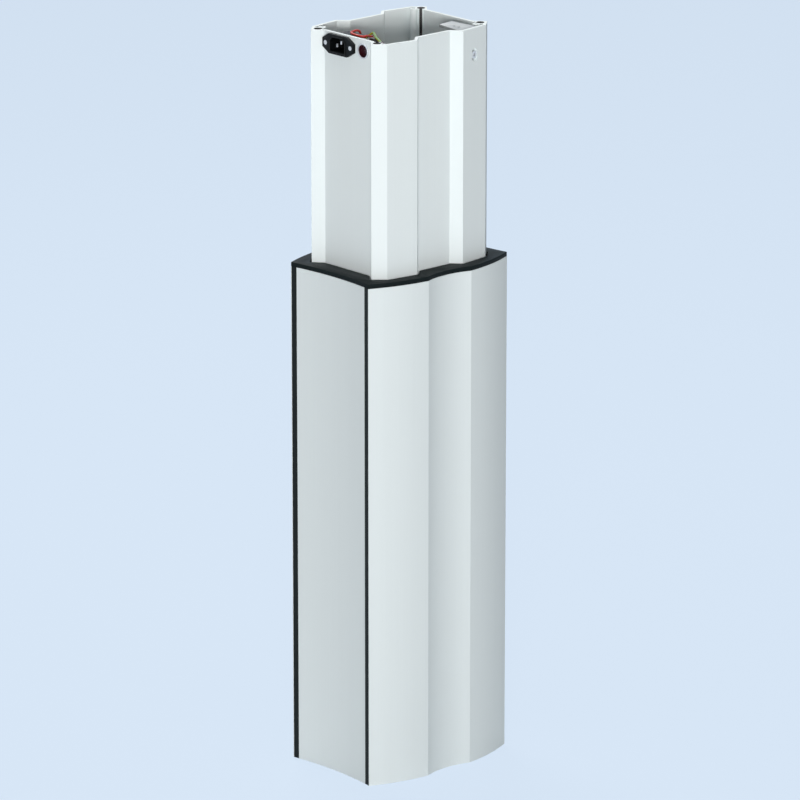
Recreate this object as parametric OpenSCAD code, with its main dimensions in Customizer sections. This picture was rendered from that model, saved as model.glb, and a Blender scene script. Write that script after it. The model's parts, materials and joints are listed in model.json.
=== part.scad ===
// Electric lifting column: an inner aluminium profile rises out of a lobed outer profile,
// driven by a nut that turns on a standing screw spindle. Z = 0 is the floor, X runs
// along the wide sides. The column is drawn partly raised.

/* [Outer profile] */
// Width from corner to corner along X
column_w = 205; // [180:1:240]
// Depth from corner to corner along Y, at the narrow sides
corner_d = 127; // [115:1:140]
// Depth from crease to crease along Y
crease_d = 165; // [160:1:172]
// Distance between the two creases of a wide side
waist_w = 63; // [56:1:70]
// Outward bulge of each lobe
lobe_bulge = 3.3; // [2.4:0.1:4]
// Inward hollow between the creases
waist_hollow = 5.7; // [4:0.1:7]
// Inward hollow of the narrow sides
side_hollow = 5.3; // [4:0.1:6.5]
// Wall of the outer profile
outer_wall = 4; // [3:0.1:4.6]
// Length of the outer profile
body_len = 570; // [560:1:640]
// Thickness of the top cap
cap_t = 5; // [4:0.5:8]

/* [Inner profile] */
// Gap between the tips of the two profiles along X
tip_gap_x = 17.5; // [16:0.5:19]
// Gap between the tips of the two profiles along Y
tip_gap_y = 14.7; // [13.5:0.1:16]
// Gap between the outer creases and the inner ridges
ridge_gap = 16.2; // [15.5:0.1:17.5]
// Depth of the recessed narrow panels
side_recess = 10; // [9:0.5:11]
// Depth of the recessed wide panels
wide_recess = 10.3; // [9:0.1:11]
// Wall of the inner profile
inner_wall = 3.5; // [2.8:0.1:4]
// Length of the inner profile
inner_len = 590; // [560:1:590]
// Height of the inner profile's end above the top cap, as drawn
raised = 260; // [240:1:275]

/* [Travel] */
// Travel left upwards from the drawn position
travel_up = 180; // [120:1:190]
// Running gap between a glide and what it slides on
glide_gap = 0.3; // [0.25:0.05:0.5]
// Gap around a piece in its seat
seat_gap = 0.1; // [0.05:0.05:0.2]
// Gap around a turning or screwed-in shank
run_gap = 0.05; // [0.03:0.01:0.1]

/* [Drive] */
// Radius of the spindle
spindle_r = 10; // [8:0.5:10]
// Distance of the spindle from the column's middle
spindle_x = 14; // [12:0.5:16]
// Teeth of the motor pinion
pinion_teeth = 16; // [15:1:17]
// Teeth of the gear on the nut
gear_teeth = 48; // [44:2:50]
// Gap between the motor and the narrow wall
motor_wall_gap = 8.5; // [6:0.5:12]
// Gap between the motor and the spindle
motor_spindle_gap = 9; // [6:0.5:12]
// Length of the motor
motor_len = 95; // [70:1:120]
// Width of the nut's gear
gear_w = 12; // [8:1:14]

/* [Plates and fittings] */
// Thickness of the base plate
base_t = 8; // [8:0.5:10]
// Thickness of the carrier plate
carrier_t = 8; // [6:0.5:8]
// Spacing of the foot holes along X
foot_hole_x = 110; // [90:1:120]
// Spacing of the foot holes along Y
foot_hole_y = 70; // [60:1:80]
// Radius of the tapped holes and of the outer screw channels
tap_r = 3.4; // [3:0.1:3.6]
// Radius of the inner profile's screw channels
channel_r = 4.25; // [3.6:0.05:4.4]
// Distance of the inner screw channels from the tips along X
channel_in_x = 9.5; // [9:0.1:10.5]
// Distance of the inner screw channels from the tips along Y
channel_in_y = 1; // [0.6:0.1:1.8]
// Spacing of the inlet's screws
inlet_pitch = 40; // [38:0.5:41]
// Height of the inlet's flange
inlet_h = 22; // [20:0.5:22.5]

/* [Hidden] */
$fn = 96;
overrun = 1;

// Outer section: centres and radii of the arcs
corner = [column_w / 2, corner_d / 2];
crease = [waist_w / 2, crease_d / 2];
lobe_chord = norm(crease - corner);
lobe_out = [corner.y - crease.y, crease.x - corner.x] / -lobe_chord;
lobe_r = lobe_chord * lobe_chord / lobe_bulge / 8 + lobe_bulge / 2;
lobe_centre = (corner + crease) / 2 - lobe_out * (lobe_r - lobe_bulge);
waist_r = waist_w * waist_w / waist_hollow / 8 + waist_hollow / 2;
waist_y = crease.y - waist_hollow + waist_r;
side_r = corner_d * corner_d / side_hollow / 8 + side_hollow / 2;
side_x = corner.x - side_hollow + side_r;
outer_channel_in_x = 7;
outer_channel_in_y = 1;
outer_channel = [corner.x - outer_wall - outer_channel_in_x, corner.y - outer_wall - outer_channel_in_y];
outer_boss_t = 3.6;
outer_boss_r = tap_r + outer_boss_t;
strip_w = 7;
strip_t = 1.6;
strip_stem_w = 2.2;
strip_stem_t = 1.6;
corner_lip = 0.8;

// Inner section, one quarter going round from the narrow panel to the wide panel
inner_w = column_w - 2 * tip_gap_x;
inner_tip_d = corner_d - 2 * tip_gap_y;
inner_ridge_d = crease_d - 2 * ridge_gap;
panel_x = inner_w / 2 - side_recess;
panel_y = inner_ridge_d / 2 - wide_recess;
side_slope = 11.3;
side_half = inner_tip_d / 2 - side_slope;
shoulder_run = 12.7;
shoulder_rise = 11.8;
ridge_shift = 2;
ridge_x = waist_w / 2 + ridge_shift;
quarter = [[panel_x, side_half], [inner_w / 2, inner_tip_d / 2],
  [inner_w / 2 - shoulder_run, inner_tip_d / 2 + shoulder_rise],
  [ridge_x, inner_ridge_d / 2], [ridge_x - wide_recess, panel_y]];
last = len(quarter) - 1;
inner_outline = concat(quarter,
  [for (i = [0:last]) [-quarter[last - i].x, quarter[last - i].y]],
  [for (i = [0:last]) -quarter[i]],
  [for (i = [0:last]) [quarter[last - i].x, -quarter[last - i].y]]);
channel = [inner_w / 2 - channel_in_x, inner_tip_d / 2 - channel_in_y];
inner_boss_t = 2.2;
inner_boss_r = channel_r + inner_boss_t;
tapped_over = 0.35;
tapped_r = channel_r + tapped_over;
tapped_depth = 30;
slot_w = 3.2;
slot_turn = 225;
small_channel_in = 8.5;
small_channel_up = 2.7;
small_channel = [channel.x - small_channel_in, channel.y + small_channel_up];
small_channel_r = 1.7;
small_boss_r = 4.2;
cap_gap = 1.75;
earth_drop = 5;
earth_head_in = 0.6;
earth_head_h = 2;
earth_slot_w = 0.9;
earth_screw_len = 9;
lug_r = 3.8;
lug_t = 1;
lug_reach = 7;
lug_turn = 62;

// Heights
cap_top = body_len + cap_t;
top_z = cap_top + raised;
foot_z = top_z - inner_len;
carrier_z = foot_z - carrier_t;

// Glides and the guide ribs beside them
rib_t = 3;
rib_clear = 5;
rib_notch = 6;
front_pad_in = 6.2;
side_pad_in = 17.5;
front_pad_w = 2 * (ridge_x - wide_recess - front_pad_in);
side_pad_w = 2 * (side_half - side_pad_in);
front_rib_y = panel_y + rib_clear;
side_rib_x = panel_x + rib_clear;
upper_glide_h = 66;
collar_over = 1;
collar_back = 2;
lower_glide_h = 60;
lower_glide_up = 2;
lower_glide_z = foot_z + lower_glide_up;
peg_r = 4;
peg_spread = 30;

// Drive: the motor fills the room beside the spindle, and the gears span from one to the other
wall_x = panel_x - inner_wall;
motor_near = spindle_x - spindle_r - motor_spindle_gap;
motor_far = wall_x - motor_wall_gap;
motor_r = (motor_near + motor_far) / 2;
motor_x = motor_near - motor_r;
gear_module = 2 * (spindle_x - motor_x) / (gear_teeth + pinion_teeth);
gear_pitch_r = gear_module * gear_teeth / 2;
pressure_angle = 20;
full_turn = 360;
addendum_share = 0.9;
dedendum_share = 1.25;
addendum = addendum_share * gear_module;
dedendum = dedendum_share * gear_module;
backlash = 0.3;
case_wall = 3;
case_gap = 2;
case_floor = 5;
case_h = 32;
cover_t = 6;
case_r = gear_pitch_r + addendum + case_gap + case_wall;
lobe_over = 2;
motor_lobe_r = motor_r + lobe_over;
gear_up = 13;
gear_z = foot_z + gear_up;
nut_r = 16;
nut_up = 1;
nut_z = foot_z + nut_up;
nut_h = case_h + cover_t - 2 * nut_up;
bush_t = 4;
bush_over = 1;
bush_flange_w = 4;
bush_flange_r = nut_r + bush_t + bush_flange_w;
bush_flange_t = 2.5;
pinion_shaft_r = 4;
pinion_over = 1;
spigot_r = 10;
drive_screw_r = 2.5;
ear_r = 6;
ear_out = 4;
ear_shares = [0.53, 0.92];
case_ear = [spindle_x + case_r * ear_shares.x, case_r * ear_shares.y];
drive_ears = [[motor_x, motor_lobe_r + ear_out], [motor_x, -motor_lobe_r - ear_out],
  case_ear, [case_ear.x, -case_ear.y]];
case_z = foot_z;
cover_z = case_z + case_h;
motor_z = cover_z + cover_t;
motor_flange_t = 4;
motor_boss_h = 4;
vent_size = [8, 4, 12];
vent_in = 1;
vent_share = 0.75;
shaft_depth = 10;
shaft_end_gap = 1;

// Spindle
seat_t = 3;
spindle_z = base_t - seat_t;
spindle_over = 12;
spindle_top = motor_z + travel_up + spindle_over;
spindle_screw_r = 2.5;
spindle_screw_len = 20;
stop_screw_len = 18;
carrier_clear = 1.5;
carrier_screw_in = 1;
carrier_screw_r = channel_r - carrier_screw_in;
pin_r = 1.5;
pin_share = 0.72;
pin_x = spindle_x + spindle_r * pin_share;
stop_in = 2;
stop_r = nut_r - stop_in;
stop_t = 3;

// Screws: head radius and height for a given shank radius
head_r_share = 1.8;
head_h_share = 1.1;
flat_head_r_share = 1.55;
flat_socket_share = 0.8;
socket_share = 0.95;

// Control unit on the inside of the right narrow wall
control_side_gap = 5.5;
control_w = 2 * (side_half - control_side_gap);
control_d = 30;
control_h = 105;
control_drop = 80;
control_z = top_z - control_drop - control_h;
control_t = 2;
control_screw_r = 2;
control_boss_r = 4;
control_y_share = 0.38;
control_z_shares = [0.15, 0.85];
control_spots = [for (y = [-1, 1]) for (z = control_z_shares)
  [y * control_w * control_y_share, control_z + z * control_h]];
board_part_shares = [0.3, 0.4, 0.35];
board_part_low_share = 0.15;
board_coil_shares = [0.1, 0.75];

// Inlet and round socket in the left narrow wall
inlet_ear = 5;
inlet_ear_half = 4.8;
inlet_len = inlet_pitch + 2 * inlet_ear;
inlet_edge_gap = 0.1;
inlet_y = side_half - inlet_edge_gap - inlet_len / 2;
inlet_drop = 1.2;
inlet_z = top_z - inlet_drop - inlet_h / 2;
inlet_step = 1;
inlet_body_w = 27;
inlet_body_h = 18.4;
inlet_flange_t = 3.6;
inlet_deep = 25;
mouth_w = 23.4;
mouth_h = 15.4;
mouth_corner = 4;
mouth_deep = 16.5;
ear_screw_r = 1.6;
ear_screw_over = 8;
pin_pitch = 7;
pin_off = 2;
pin_places = [[-pin_pitch, -pin_off], [0, pin_off], [pin_pitch, -pin_off]];
pin_size = [2, 4];
pin_out = 9;
pin_sunk = 5;
socket_r = 7.7;
socket_ring_r = 8.7;
socket_ring_t = 1.6;
socket_body_r = 7;
socket_mouth_r = 6.5;
socket_recess = 4;
socket_deep = 16;
socket_sleeve_back = 5;
socket_nut_over = 3;
socket_nut_t = 3;
socket_gap = 4.3;
socket_y = inlet_y - inlet_len / 2 - socket_gap - socket_ring_r;
socket_drop = 12.5;
socket_z = top_z - socket_drop;
contact_r = 0.6;
contact_circle = 3.6;
contact_deep = 5;
contact_turn = 45;

// Corner bracket
bracket_t = 3;
bracket_drop = 44;
bracket_over = 2.5;
bracket_side_gap = 5.8;
bracket_lean = 4.6;
bracket_end = 41;
bracket_slant = 2.7;
bracket_x = ridge_x - bracket_over;
bracket_w = small_channel.x - small_boss_r - bracket_side_gap - bracket_x;
bracket_y = -inner_ridge_d / 2 + bracket_end;
flange_in = 8;
flange_over = 2;
flange_w = bracket_w - flange_in + flange_over;
bracket_hole_r = 1.6;
bracket_hole_in = 11;
bracket_hole_back = 16.8;
bracket_hole_step = [0.6, -7.2];
bracket_hole = [bracket_x + bracket_hole_in, bracket_y - bracket_hole_back];
flange_screw_in = 6.3;
bracket_screw_x = bracket_x + flange_in + flange_w - flange_screw_in;
bracket_screw_drop = 30;
bracket_screw_r = 2.5;
bracket_screw_len = 6;
bracket_head_r = 4.2;
bracket_head_t = 1.6;
bracket_sunk = 1.9;
bracket_play = 6;
lobe_panel_angle = atan2(inner_ridge_d / 2 - quarter[2].y, quarter[2].x - ridge_x);

function unit(v) = v / norm(v);
function left_normal(v) = [-v.y, v.x] / norm(v);

// A closed outline moved inwards by d, with mitred corners
function inset(outline, d) = [for (i = [0:len(outline) - 1])
  let (here = outline[i],
    before = outline[(i + len(outline) - 1) % len(outline)],
    after = outline[(i + 1) % len(outline)],
    a = left_normal(here - before),
    b = left_normal(after - here))
  here + d * (a + b) / (1 + a * b)];

// Involute gear: polar angle lost by the flank at radius r, in degrees
function involute(base_r, r) = r <= base_r ? 0
  : let (p = acos(base_r / r)) tan(p) * 180 / PI - p;
function polar(r, angle) = r * [cos(angle), sin(angle)];
function gear_outline(teeth, points = 3) =
  let (pitch_r = gear_module * teeth / 2,
    base_r = pitch_r * cos(pressure_angle),
    tip_r = pitch_r + addendum,
    root_r = pitch_r - dedendum,
    start_r = max(base_r, root_r),
    half = full_turn / 4 / teeth - backlash / pitch_r * full_turn / 8 / PI + involute(base_r, pitch_r),
    radii = [for (k = [0:points]) start_r + (tip_r - start_r) * k / points])
  [for (i = [0:teeth - 1])
    let (mid = full_turn * i / teeth, root_half = half - involute(base_r, start_r))
    each concat([polar(root_r, mid - root_half)],
      [for (r = radii) polar(r, mid - half + involute(base_r, r))],
      [for (k = [0:points]) let (r = radii[points - k])
        polar(r, mid + half - involute(base_r, r))],
      [polar(root_r, mid + root_half)])];

// A smooth path through hand-chosen points, with steps rings for each stretch
function smooth(p, steps = 4) = [for (i = [0:len(p) - 2])
  let (a = p[max(i - 1, 0)], b = p[i], c = p[i + 1], d = p[min(i + 2, len(p) - 1)])
  for (k = [0:steps - (i == len(p) - 2 ? 0 : 1)])
    let (t = k / steps)
    (2 * b + (c - a) * t + (2 * a - 5 * b + 4 * c - d) * t * t
      + (3 * b - a - 3 * c + d) * t * t * t) / 2];

// Moves the frame of the last ring along to the next direction
function carried(side, ahead) = unit(side - ahead * (side * ahead));
first_side_share = [0.3, 0.5, 0.8];
function sides_along(ahead, i = 0, side = first_side_share) = i >= len(ahead) ? []
  : let (now = carried(side, ahead[i])) concat([now], sides_along(ahead, i + 1, now));

// A round lead swept along its points
module lead(points, r, sides = 8) {
  path = smooth(points);
  n = len(path);
  ahead = [for (i = [0:n - 1]) unit(path[min(i + 1, n - 1)] - path[max(i - 1, 0)])];
  across = sides_along(ahead);
  rings = [for (i = [0:n - 1]) for (j = [0:sides - 1])
    let (turn = full_turn * j / sides)
    path[i] + r * (cos(turn) * across[i] + sin(turn) * cross(ahead[i], across[i]))];
  skin = [for (i = [0:n - 2]) for (j = [0:sides - 1])
    let (a = i * sides + j, b = i * sides + (j + 1) % sides)
    each [[a, b + sides, b], [a, a + sides, b + sides]]];
  first = [[for (j = [0:sides - 1]) j]];
  final = [[for (j = [0:sides - 1]) n * sides - 1 - j]];
  polyhedron(rings, concat(skin, first, final));
}

// Lead routes: each stretch of points is measured from the piece that it starts or ends at
inlet_back = [-panel_x, inlet_y, inlet_z];
socket_back = [-panel_x, socket_y, socket_z];
case_top = [wall_x - control_d / 2, 0, control_z + control_h];
case_foot = [case_top.x, 0, control_z];
motor_top = [motor_x, 0, motor_z + motor_len + motor_boss_h];
lug_place = [-small_channel.x, -small_channel.y, top_z - earth_drop];
function from(place, points) = [for (p = points) place + p];
line_route = concat(
  from(inlet_back, [[33.4, 7, -2], [37, 7.6, 1.2], [35, 7.6, 8.2], [27, 5.6, 10.6], [17, 0.6, 10.6],
    [13.5, -11.4, 10.6], [15.5, -20.4, 10.2], [23, -18.4, 9.6], [30, -14.9, 7.2], [37, -11.4, 4.7],
    [45, -6.4, -5.8]]),
  from(case_top, [[-66.5, 11, 38], [-26.5, 14, 16], [-6.5, 14, 10], [-0.5, 14, 5], [-0.5, 14, 0.2]]));
neutral_route = concat(
  from(inlet_back, [[33.4, -7, -2], [37, -9.9, -2.6], [33, -16.4, 1.2], [23, -17.4, 5.2],
    [11, -17.9, 7.2], [8, -22.4, 6.2], [13, -26.4, 3.2], [25, -29.4, -3.8]]),
  from(case_top, [[-76.5, -8, 36], [-26.5, 3, 16], [-6.5, 5, 10], [-0.5, 5, 5], [-0.5, 5, 0.2]]));
earth_route = concat(
  from(inlet_back, [[33.4, 0, 2], [38, -0.4, 2.7], [40.5, -4.4, 6.2], [38, -11.4, 9.6],
    [31, -21.4, 10.2]]),
  from(lug_place, [[16, 31.5, 3], [10, 20.5, 2.8], [6.1, 11.6, 1.5], [4.6, 8.7, 1.3]]));
handset_route = concat(
  from(socket_back, [[16.3, 0, 0], [22, 0.6, 1.5], [25, 6.6, 6], [25, 15.6, 6], [33, 15.6, -1.5]]),
  from(case_top, [[-76.5, -12, 40], [-36.5, -12, 18], [-10.5, -11, 10], [-0.5, -11, 5],
    [-0.5, -11, 0.2]]));
motor_route = concat(
  from(case_foot, [[-0.5, -12, -0.3], [-0.5, -12, -7], [-6.5, -24, -35], [-36.5, -36, -115]]),
  from(motor_top, [[18, -36, 53], [0, -20, 19], [0, -6, 8], [0, -6, 0.3]]));
mains_r = 1.3;
handset_r = 2.2;
motor_lead_r = 2.6;

// Area inside the outer profile's surface, moved inwards by d
module outer_area(d = 0) {
  reach = crease_d + column_w;
  difference() {
    intersection() {
      square([column_w, reach], center = true);
      for_lobes(d, 1);
      for_lobes(d, -1);
    }
    for (s = [-1, 1]) {
      translate([0, s * waist_y]) circle(waist_r + d, $fn = 256);
      translate([s * side_x, 0]) circle(side_r + d, $fn = 512);
    }
  }
}
module for_lobes(d, s) {
  for (k = [-1, 1])
    translate([k * lobe_centre.x, s * lobe_centre.y]) circle(lobe_r - d, $fn = 384);
}

module at_corners(p) {
  for (x = [-1, 1]) for (y = [-1, 1]) translate([x * p.x, y * p.y]) children();
}

// Groove or strip at the corner towards +X and +Y
module strip_section(gap = 0) {
  low = corner.y - corner_lip - strip_w;
  intersection() {
    outer_area(-gap);
    union() {
      translate([side_x, 0]) intersection() {
        circle(side_r + strip_t + gap, $fn = 512);
        translate([-side_x, low - gap]) square([column_w, strip_w + 2 * gap]);
      }
      translate([corner.x - strip_t - strip_stem_t - corner_lip - gap,
        low + (strip_w - strip_stem_w) / 2 - gap])
        square([strip_stem_t + strip_t, strip_stem_w + 2 * gap]);
    }
  }
}

module outer_profile() {
  color("silver") difference() {
    union() {
      linear_extrude(body_len) difference() {
        outer_area();
        outer_area(outer_wall);
      }
      translate([0, 0, base_t]) linear_extrude(body_len - base_t) intersection() {
        outer_area(outer_wall / 2);
        at_corners(outer_channel) circle(outer_boss_r);
      }
      translate([0, 0, base_t]) linear_extrude(body_len - base_t - rib_notch) intersection() {
        outer_area(outer_wall / 2);
        union() {
          for (s = [-1, 1]) for (k = [-1, 1]) {
            translate([k * (front_pad_w + rib_t) / 2, s * (front_rib_y + crease_d / 2) / 2])
              square([rib_t, crease_d / 2 - front_rib_y], center = true);
            translate([s * (side_rib_x + column_w / 2) / 2, k * (side_pad_w + rib_t) / 2])
              square([column_w / 2 - side_rib_x, rib_t], center = true);
          }
        }
      }
    }
    translate([0, 0, -overrun]) linear_extrude(body_len + 2 * overrun) {
      at_corners(outer_channel) circle(tap_r);
      for (x = [0, 1]) for (y = [0, 1]) mirror([x, 0]) mirror([0, y])
        strip_section(seat_gap);
    }
  }
}

module cover_strip(x, y) {
  color("dimgray") mirror([x, 0, 0]) mirror([0, y, 0]) linear_extrude(body_len)
    strip_section();
}

module top_cap() {
  color("dimgray") translate([0, 0, body_len]) {
    linear_extrude(cap_t) difference() {
      outer_area();
      polygon(inset(inner_outline, -cap_gap));
    }
    translate([0, 0, -3 * tap_r]) linear_extrude(3 * tap_r + overrun)
      at_corners(outer_channel) circle(tap_r - seat_gap);
  }
}

// A pad between the two profiles on a wide side (turn = 0) or a narrow side (turn = 1),
// out to wall_gap from the outer wall and in to panel_gap from the inner panel
module pad_section(w, wall_gap, panel_gap, turn) {
  difference() {
    intersection() {
      outer_area(outer_wall + wall_gap);
      translate(turn == 0 ? [-w / 2, 0] : [0, -w / 2])
        square(turn == 0 ? [w, crease_d / 2] : [column_w / 2, w]);
    }
    polygon(inset(inner_outline, -panel_gap));
  }
}

module upper_glide(w, turn) {
  side_play = 2 * seat_gap;
  top_w = w + 2 * (rib_t + collar_over);
  translate([0, 0, body_len - upper_glide_h]) {
    linear_extrude(upper_glide_h) pad_section(w - side_play, seat_gap, glide_gap, turn);
    translate([0, 0, upper_glide_h - rib_notch]) linear_extrude(rib_notch)
      pad_section(top_w, seat_gap, glide_gap + collar_back, turn);
  }
}

module lower_glide(w, turn) {
  color("ivory") {
    translate([0, 0, lower_glide_z]) linear_extrude(lower_glide_h)
      pad_section(w - 2 * glide_gap, glide_gap, 0, turn);
    for (k = [-1, 1])
      translate([turn == 0 ? 0 : panel_x - inner_wall, turn == 0 ? panel_y - inner_wall : 0,
        lower_glide_z + lower_glide_h / 2 + k * peg_spread / 2])
        rotate(turn == 0 ? [-90, 0, 0] : [0, 90, 0]) cylinder(r = peg_r, h = inner_wall + overrun);
  }
}

module inner_profile() {
  color("gainsboro") difference() {
    translate([0, 0, foot_z]) linear_extrude(inner_len) difference() {
      union() {
        difference() {
          polygon(inner_outline);
          polygon(inset(inner_outline, inner_wall));
        }
        intersection() {
          polygon(inset(inner_outline, inner_wall / 2));
          union() {
            at_corners(channel) circle(inner_boss_r);
            at_corners(small_channel) circle(small_boss_r);
          }
        }
      }
      at_corners(channel) circle(channel_r);
      at_corners(small_channel) circle(small_channel_r);
      for (x = [0, 1]) for (y = [0, 1]) mirror([x, 0]) mirror([0, y])
        translate(channel) rotate(slot_turn) translate([0, -slot_w / 2])
          square([2 * channel_r, slot_w]);
    }
    translate([0, 0, top_z - tapped_depth]) linear_extrude(tapped_depth + overrun)
      at_corners(channel) circle(tapped_r);
    translate([0, 0, top_z - earth_drop]) linear_extrude(earth_drop + overrun) intersection() {
      polygon(inset(inner_outline, inner_wall));
      translate(-small_channel) circle(small_boss_r + 2 * seat_gap);
    }
    for (s = [0, 1]) for (k = [-1, 1])
      translate([0, 0, lower_glide_z + lower_glide_h / 2 + k * peg_spread / 2]) {
        mirror([0, s, 0]) rotate([-90, 0, 0]) through_wall(panel_y, peg_r + run_gap);
        mirror([s, 0, 0]) rotate([0, 90, 0]) through_wall(panel_x, peg_r + run_gap);
      }
    for (p = control_spots) translate([panel_x - seat_gap, p.x, p.y]) rotate([0, 90, 0])
      flat_hole(control_screw_r, inner_wall + overrun);
    translate([-panel_x, inlet_y, inlet_z])
      cube([4 * inner_wall, inlet_body_w + 4 * seat_gap, inlet_body_h + 4 * seat_gap], center = true);
    for (k = [-1, 1]) translate([0, inlet_y + k * inlet_pitch / 2, inlet_z])
      rotate([0, -90, 0]) through_wall(panel_x, ear_screw_r + run_gap);
    translate([0, socket_y, socket_z]) rotate([0, -90, 0])
      through_wall(panel_x, socket_r + seat_gap);
    bracket_screw_place() {
      translate([0, 0, -bracket_sunk]) oblong(bracket_head_r, bracket_sunk + overrun);
      translate([0, 0, -inner_wall - overrun]) oblong(bracket_screw_r, inner_wall + overrun);
    }
  }
}
// An upright slot with play for a shank or a head of radius r
module oblong(r, h) {
  linear_extrude(h) {
    square([2 * (r + seat_gap), bracket_play], center = true);
    for (k = [-1, 1]) translate([0, k * bracket_play / 2]) circle(r + seat_gap);
  }
}
module through_wall(outside, r) {
  translate([0, 0, outside - inner_wall - overrun]) cylinder(r = r, h = inner_wall + 2 * overrun);
}

// The bracket screw's place on the outside of the front right lobe panel
module bracket_screw_place() {
  share = (quarter[2].x - bracket_screw_x) / (quarter[2].x - ridge_x);
  y = quarter[2].y + share * (quarter[3].y - quarter[2].y);
  translate([bracket_screw_x, -y, top_z - bracket_screw_drop])
    rotate([90, 0, lobe_panel_angle]) children();
}

// Screws point down their own -Z, with the head's underside at 0
module cap_screw(r, h) {
  translate([0, 0, -h]) cylinder(r = r, h = h);
  difference() {
    cylinder(r = r * head_r_share, h = 2 * r * head_h_share);
    translate([0, 0, r * head_h_share]) cylinder(r = r * socket_share, h = 2 * r * head_h_share, $fn = 6);
  }
}
function flat_head_h(r) = r * (flat_head_r_share - 1);
module flat_screw(r, h) {
  difference() {
    union() {
      translate([0, 0, -h]) cylinder(r = r, h = h);
      translate([0, 0, -flat_head_h(r)])
        cylinder(r1 = r, r2 = r * flat_head_r_share, h = flat_head_h(r));
    }
    translate([0, 0, -r * flat_socket_share]) cylinder(r = r * socket_share, h = r, $fn = 6);
  }
}
module flat_hole(r, h) {
  translate([0, 0, -h]) cylinder(r = r + run_gap, h = h + overrun);
  translate([0, 0, -flat_head_h(r)]) cylinder(r1 = r + run_gap,
    r2 = r * flat_head_r_share + run_gap + overrun, h = flat_head_h(r) + overrun);
}

module base_plate() {
  color("darkgray") difference() {
    linear_extrude(base_t) difference() {
      outer_area(outer_wall + seat_gap);
      for (x = [-1, 1]) for (y = [-1, 1])
        translate([x * foot_hole_x, y * foot_hole_y] / 2) circle(tap_r);
    }
    for (x = [-1, 1]) for (y = [-1, 1]) translate([x * outer_channel.x, y * outer_channel.y, 0])
      rotate([180, 0, 0]) flat_hole(tap_r - seat_gap, base_t + overrun);
    translate([spindle_x, 0, spindle_z]) cylinder(r = spindle_r + run_gap, h = base_t);
    translate([spindle_x, 0, 0]) rotate([180, 0, 0]) flat_hole(spindle_screw_r, base_t);
    translate([pin_x, 0, -overrun]) cylinder(r = pin_r + run_gap, h = base_t);
  }
}

module base_screws() {
  color("dimgray") for (x = [-1, 1]) for (y = [-1, 1])
    translate([x * outer_channel.x, y * outer_channel.y, 0]) rotate([180, 0, 0])
      flat_screw(tap_r - 2 * seat_gap, base_t * 4);
}

module spindle() {
  color("silver") translate([spindle_x, 0, 0]) difference() {
    translate([0, 0, spindle_z]) cylinder(r = spindle_r, h = spindle_top - spindle_z);
    translate([0, 0, spindle_z - overrun]) cylinder(r = spindle_screw_r + run_gap, h = spindle_screw_len);
    translate([pin_x - spindle_x, 0, spindle_z - overrun])
      cylinder(r = pin_r + run_gap, h = base_t);
    translate([0, 0, spindle_top - stop_screw_len - overrun])
      cylinder(r = spindle_screw_r + run_gap, h = stop_screw_len + 2 * overrun);
  }
}
module spindle_screw() {
  color("dimgray") translate([spindle_x, 0, 0]) rotate([180, 0, 0])
    flat_screw(spindle_screw_r, spindle_screw_len);
}
module spindle_pin() {
  color("dimgray") translate([pin_x, 0, run_gap]) cylinder(r = pin_r, h = base_t);
}
module stop_washer() {
  color("silver") translate([spindle_x, 0, spindle_top]) difference() {
    cylinder(r = stop_r, h = stop_t);
    translate([0, 0, -overrun]) cylinder(r = spindle_screw_r + run_gap, h = stop_t + 2 * overrun);
  }
}
module stop_screw() {
  color("dimgray") translate([spindle_x, 0, spindle_top + stop_t])
    cap_screw(spindle_screw_r, stop_screw_len);
}

module carrier_plate() {
  color("darkgray") translate([0, 0, carrier_z]) difference() {
    linear_extrude(carrier_t) difference() {
      polygon(inner_outline);
      translate([spindle_x, 0]) circle(spindle_r + carrier_clear);
      for (p = drive_ears) translate(p) circle(drive_screw_r + run_gap);
    }
    for (x = [-1, 1]) for (y = [-1, 1]) translate([x * channel.x, y * channel.y, 0])
      rotate([180, 0, 0]) flat_hole(carrier_screw_r, carrier_t + overrun);
  }
}
module carrier_screws() {
  color("dimgray") for (x = [-1, 1]) for (y = [-1, 1])
    translate([x * channel.x, y * channel.y, carrier_z]) rotate([180, 0, 0])
      flat_screw(carrier_screw_r, carrier_t * 4);
}

// Outline of the gear case, moved inwards by d
module case_area(d = 0) {
  translate([spindle_x, 0]) circle(case_r - d);
  translate([motor_x, 0]) circle(motor_lobe_r - d);
  translate([motor_x, -motor_lobe_r + d]) square([spindle_x - motor_x, 2 * (motor_lobe_r - d)]);
}
module ear_holes(h) {
  for (p = drive_ears) translate([p.x, p.y, -overrun])
    cylinder(r = drive_screw_r + run_gap, h = h + 2 * overrun);
}

module gear_case() {
  color("dimgray") translate([0, 0, case_z]) difference() {
    union() {
      linear_extrude(case_h) case_area();
      for (p = drive_ears) translate(p) cylinder(r = ear_r, h = case_h);
      for (p = drive_ears) ear_web(p, case_h);
    }
    difference() {
      translate([0, 0, case_floor]) linear_extrude(case_h) case_area(case_wall);
      for (p = drive_ears) translate(p) cylinder(r = ear_r, h = case_h);
    }
    translate([spindle_x, 0, -overrun]) cylinder(r = nut_r + bush_t, h = case_h);
    translate([motor_x, 0, case_floor / 2]) cylinder(r = pinion_shaft_r + run_gap, h = case_h);
    ear_holes(case_h);
  }
}
// Web from an ear's boss to the case
module ear_web(p, h) {
  translate([p.x - ear_r, p.y > 0 ? p.y - 2 * ear_r : p.y, 0]) cube([2 * ear_r, 2 * ear_r, h]);
}

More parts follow.
